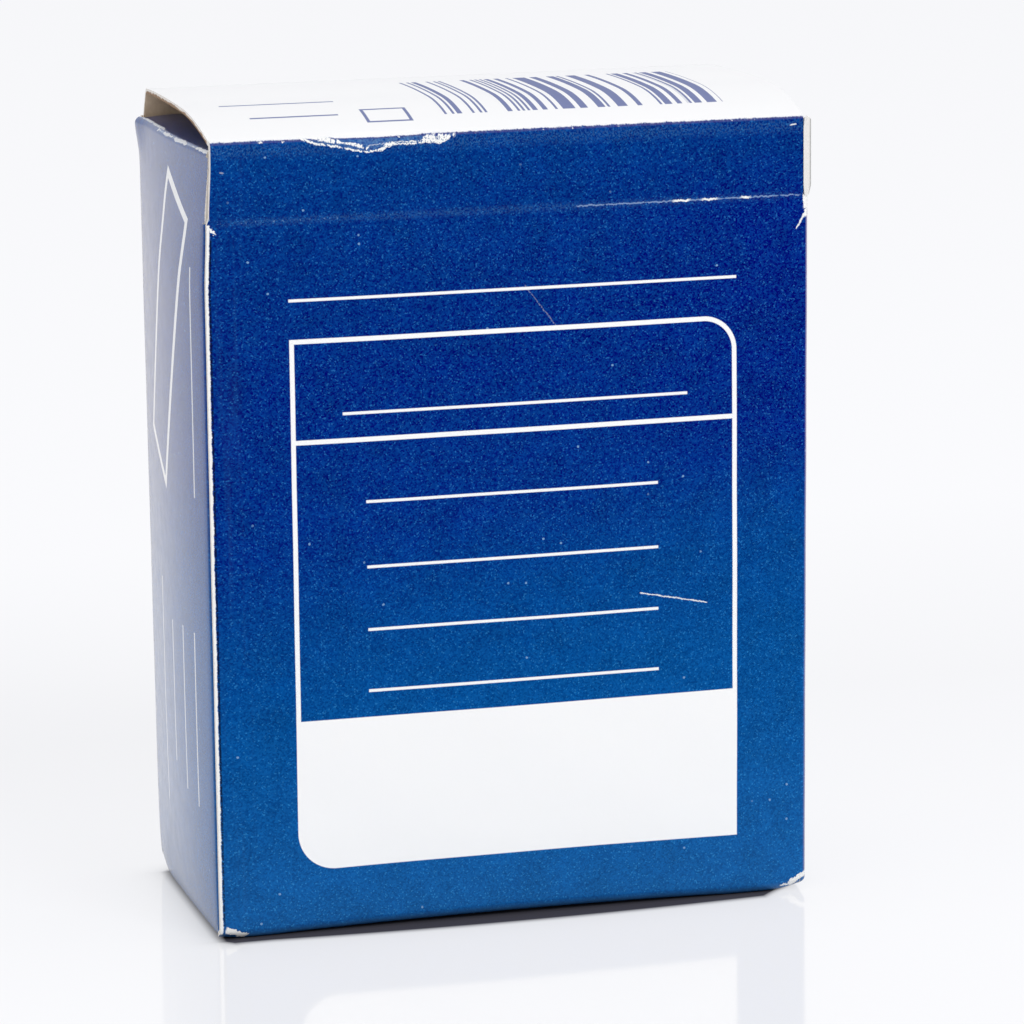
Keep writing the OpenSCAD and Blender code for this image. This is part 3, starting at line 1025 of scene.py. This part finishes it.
# %% Rubbed bands, and lines of painted shade
# painted shade: a thin violet line just under the white of the lid's edge
shade_under_lid_edge = v.between(78.46, 78.6, 0.08) * on_front * (rough_edge * 0.8 + 0.15)
streaks = card.node("Mapping", {"Vector": sheet_place, "Scale": (1.6, 0.03, 1)}).noise(1.0, 2.0)
rubbed_left = (streaks - 0.5).most(0) * u.between(0.4, 3.0, 1.0) * v.below(77.5, 1.5) * 0.25
rubbed_top = v.between(77.3, 78.5, 0.8) * fine_edge.above(0.52, 0.1) * on_front * 0.35
rubbed_foot = v.between(-0.7, 0.7, 0.6) * on_front * 0.6
pale_crease = crease.near(0.0, 0.7, 0.4) * fine_edge.above(0.5, 0.2) * u.between(1.0, 58.6, 3) * 0.3
right_fold = u.between(u_front + 0.3, u_front + 0.55, 0.15) * v.above(1, 2) * 0.5
facet_noise = fine_edge * 0.7 + rough_edge * 0.7 - 0.45
facet = (v - lower_v).above(0, 0.1) * v.below(78.5, 0.1) * in_dent * facet_noise
crease_specks = crack(u, crease, 0.2, 2.5, 12.5, 0.45, 2.2, fray=0.4) * on_front * 0.6
# painted shadow: dark dashes along the front, just beside its cut left edge
shadow_dashes_by_cut_edge = broken(u.between(0.24, 0.4, 0.06), 0.6, fine_edge) * v.below(70, 1) * v.above(1, 1) * 0.85
print("bands rubbed")

# %% Wear, with painted shade and highlights, laid over the print
card_colour = printed
for mask, colour in (
        (shade_under_lid_edge, (0.085, 0.065, 0.2)),  # painted shade, violet, below the white
        (any_of(rubbed_left, pale_crease, rubbed_top, rubbed_foot), (0.05, 0.15, 0.33)),
        (crease_specks.most(facet), chipped_blue),
        (crease_pale, (0.34, 0.47, 0.7)),
        (fold_glint, (0.58, 0.64, 0.78)),  # painted highlight: a pale line along the left fold
        (right_fold, (0.42, 0.3, 0.38)),  # pinkish, down the right fold
        # black: painted shadow beside the cut edge, and dark flecks and a speck of dirt
        (any_of(shadow_dashes_by_cut_edge, dark_flecks, black_speck), (0.004, 0.004, 0.012)),
        (worn, (0.86, 0.85, 0.81)),  # bare fibre
        (left_fold_wear, (0.95, 0.96, 0.98))):  # whiter: the cracks are real wear, and their extra white is a painted highlight where raised fibre catches the light
    card_colour = mix(mask, card_colour, colour)
print("wear coloured")

# %% Surface of the card
bare_paper = worn.most(white_lid)
sheen = bare_paper * 0.55 + (coarse - 0.5) * 0.12 + 0.17
bump = card.node("Bump", {"Height": fine_edge * 0.25 + coarse * 0.6, "Strength": 0.3, "Distance": 0.05 * MM})
to_output(card.node("BsdfPrincipled", {
    "Base Color": card_colour, "Roughness": sheen, "Normal": bump, "IOR": 1.66,
    "Specular Tint": (0.15, 0.5, 1.0, 1)}))

# %% Bare inside and cut rim
inside_material, inside = new_material("bare_board")
speck = inside.node("TexCoord", output="Object").noise(900, 4.0, 0.7, "3D")
fibres = speck.ramp([(0.3, (0.64, 0.48, 0.34)), (0.7, (0.83, 0.68, 0.51))])
inside_bump = inside.node("Bump", {"Height": speck, "Strength": 0.4, "Distance": 0.05 * MM})
to_output(inside.node("BsdfPrincipled", {
    "Base Color": fibres, "Roughness": 0.85, "Normal": inside_bump}))

rim_material, rim = new_material("cut_edge")
place = rim.node("TexCoord", output="Object")
layers, clumps = place.noise(2500, 3.0, 0.7, "3D"), place.noise(800, 3.0, 0.7, "3D")
rim_place = rim.node("Attribute", output="Vector", attribute_name="flat")
rim_u, rim_v = rim_place.part("X"), rim_place.part("Y")
depth = rim.node("Attribute", output="Fac", attribute_name="depth")
brown = (depth + (clumps - 0.5) * 1.1).above(0.52, 0.2) * (rim_v.above(79.2, 0.4) * 0.85 + 0.12)
cream = layers.ramp([(0.3, (0.88, 0.82, 0.74)), (0.6, (0.96, 0.94, 0.89))])
edge_colour = mix(brown, cream, (0.33, 0.2, 0.115))
beside_lid = rim_u.between(u_right - 1.6, u_right - 0.3, 0.05) * rim_v.between(hinge_z - 0.5, 80, 0.1)
edge_colour = mix(beside_lid * 0.9, edge_colour, (0.71, 0.695, 0.665))  # the torn strip
# painted shade: a dark grey line down the outer side of the torn strip
outermost = beside_lid * rim_u.below(u_right - 0.95, 0.1) * 0.8
edge_colour = mix(outermost, edge_colour, (0.33, 0.33, 0.32))
rim_bump = rim.node("Bump", {"Height": layers + clumps, "Strength": 0.5, "Distance": 0.06 * MM})
to_output(rim.node("BsdfPrincipled", {
    "Base Color": edge_colour, "Roughness": 0.9, "Normal": rim_bump}))

# %% Carton and lid as board
board_materials = [card_material, inside_material, rim_material]
carton_board = as_board(carton, "carton_board", board_materials)
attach(carton_board, "carton")
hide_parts("carton")

lid_board = as_board(lid, "lid_board", board_materials)
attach(lid_board, "lid")
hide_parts("lid")

# %% [markdown]
# ## The slides
# Fifty slides of clear soda-lime glass stand in the box. Their shape in the CAD model is right as it
# is, so they only get a material. The faces are polished, and the cut edges are ground and greenish.

# %% Slide glass
glass_material, glass = new_material("slide_glass")
facing_x = abs(glass.node("NewGeometry", output="Normal").part("X"))
edge_mask = facing_x.below(0.5, 0.1)
clear = glass.node("BsdfPrincipled", {
    "Base Color": (0.9, 0.97, 0.94, 1), "Roughness": 0.02, "IOR": 1.52, "Transmission Weight": 1.0})
ground_edge = glass.node("BsdfPrincipled", {
    "Base Color": (0.3, 0.55, 0.46, 1), "Roughness": 0.35, "IOR": 1.52, "Transmission Weight": 0.35})
to_output(glass.node("MixShader", {0: edge_mask, 1: clear, 2: ground_edge}))
for name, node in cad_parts.items():
    if name.startswith("slide_"):
        node.data.materials.clear()
        node.data.materials.append(glass_material)

# %% [markdown]
# ## End

# %% Finish
print("finished")
